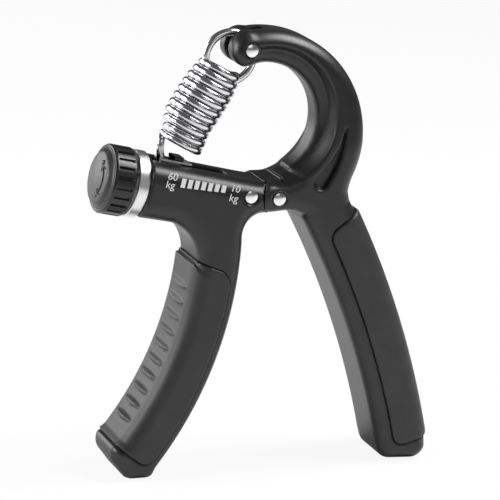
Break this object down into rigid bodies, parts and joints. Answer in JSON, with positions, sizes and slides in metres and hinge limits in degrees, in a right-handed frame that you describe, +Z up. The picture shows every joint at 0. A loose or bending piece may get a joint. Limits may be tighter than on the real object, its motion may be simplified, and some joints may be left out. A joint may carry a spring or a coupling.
{
  "type": "hand grip strengthener",
  "caption": "Squeeze-to-close hand exerciser: two handles, a C-shaped arm, a pull spring and a knob that sets the load.",
  "frame": {"origin": "centre of the bounding box's base, on the surface that both feet stand on", "axes": "+X from the fixed handle to the moving handle, +Y through the thickness, +Z up from the feet to the C-shaped arm"},
  "size_m": [0.1235, 0.0252, 0.151],
  "materials": {
    "body_plastic": "satin black moulded plastic with a fine grain",
    "grip_rubber": "soft dark grey moulded rubber",
    "knob_plastic": "black moulded plastic, ribbed",
    "cap_plastic": "black moulded plastic with a white printed arrow",
    "tab_plastic": "black moulded plastic",
    "rivet_chrome": "bright plated rivet heads",
    "spring_steel": "bright plated spring wire",
    "collar_metal": "turned and brushed",
    "plate_steel": "stamped steel",
    "screw_steel": "zinc plated",
    "nut_zinc": "cast zinc",
    "bush_brass": "turned"
  },
  "bodies": {
    "frame": {"left_body": "body_plastic", "left_grip": "grip_rubber", "hinge_plate": "plate_steel", "fixed_rivet": "rivet_chrome", "collar_ring": "collar_metal", "end_bush": "bush_brass"},
    "arm": {"right_arm": "body_plastic", "right_grip": "grip_rubber", "pivot_rivet": "rivet_chrome", "spring_rivet": "rivet_chrome"},
    "knob": {"knob_ring": "knob_plastic", "knob_cap": "cap_plastic", "knob_hub_screw": "screw_steel", "lead_screw": "screw_steel", "thrust_washer": "screw_steel", "screw_clip": "screw_steel"},
    "slider": {"slider_nut": "nut_zinc", "hook_pin": "screw_steel", "pointer_tab": "tab_plastic"},
    "spring_foot": {"spring_lower_hook": "spring_steel"},
    "spring_middle": {"spring_coil": "spring_steel"},
    "spring_head": {"spring_upper_hook": "spring_steel"}
  },
  "joints": [
    {"name": "squeeze", "type": "hinge", "parent": "frame", "child": "arm", "pos_m": [0, 0, 0.0955], "axis": [0, 1, 0], "range_deg": [0, 38], "stiffness_Nm_per_rad": 6, "springref_deg": -20.05},
    {"name": "knob_turn", "type": "hinge", "parent": "frame", "child": "knob", "pos_m": [-0.04569, 0, 0.09939], "axis": [0.9781, 0, -0.2079], "range_deg": [-4080, 0]},
    {"name": "load_adjust", "type": "slide", "parent": "frame", "child": "slider", "axis": [-0.9781, 0, 0.2079], "range_m": [-0.0173, 0.0001]},
    {"name": "spring_swing", "type": "hinge", "parent": "frame", "child": "spring_foot", "pos_m": [-0.01847, 0, 0.1476], "axis": [0, 1, 0], "range_deg": [-21.6, 0.1]},
    {"name": "spring_follow", "type": "hinge", "parent": "spring_foot", "child": "spring_middle", "pos_m": [-0.03623, 0, 0.10494], "axis": [0, 1, 0], "range_deg": [-0.1, 25.93], "deforming": ["spring_lower_hook"]},
    {"name": "spring_stretch", "type": "slide", "parent": "spring_middle", "child": "spring_head", "axis": [0.5262, 0, 0.8503], "range_m": [-0.0001, 0.02132], "deforming": ["spring_coil", "spring_upper_hook"]}
  ],
  "couplings": [
    {"joint": "load_adjust", "follows": "knob_turn", "m_per_rad": 0.00023873},
    {"joint": "spring_swing", "follows": "knob_turn", "ratio": 0.0051962},
    {"joint": "spring_follow", "follows": "squeeze", "ratio": 0.67974},
    {"joint": "spring_stretch", "follows": "squeeze", "m_per_rad": 0.031992}
  ]
}
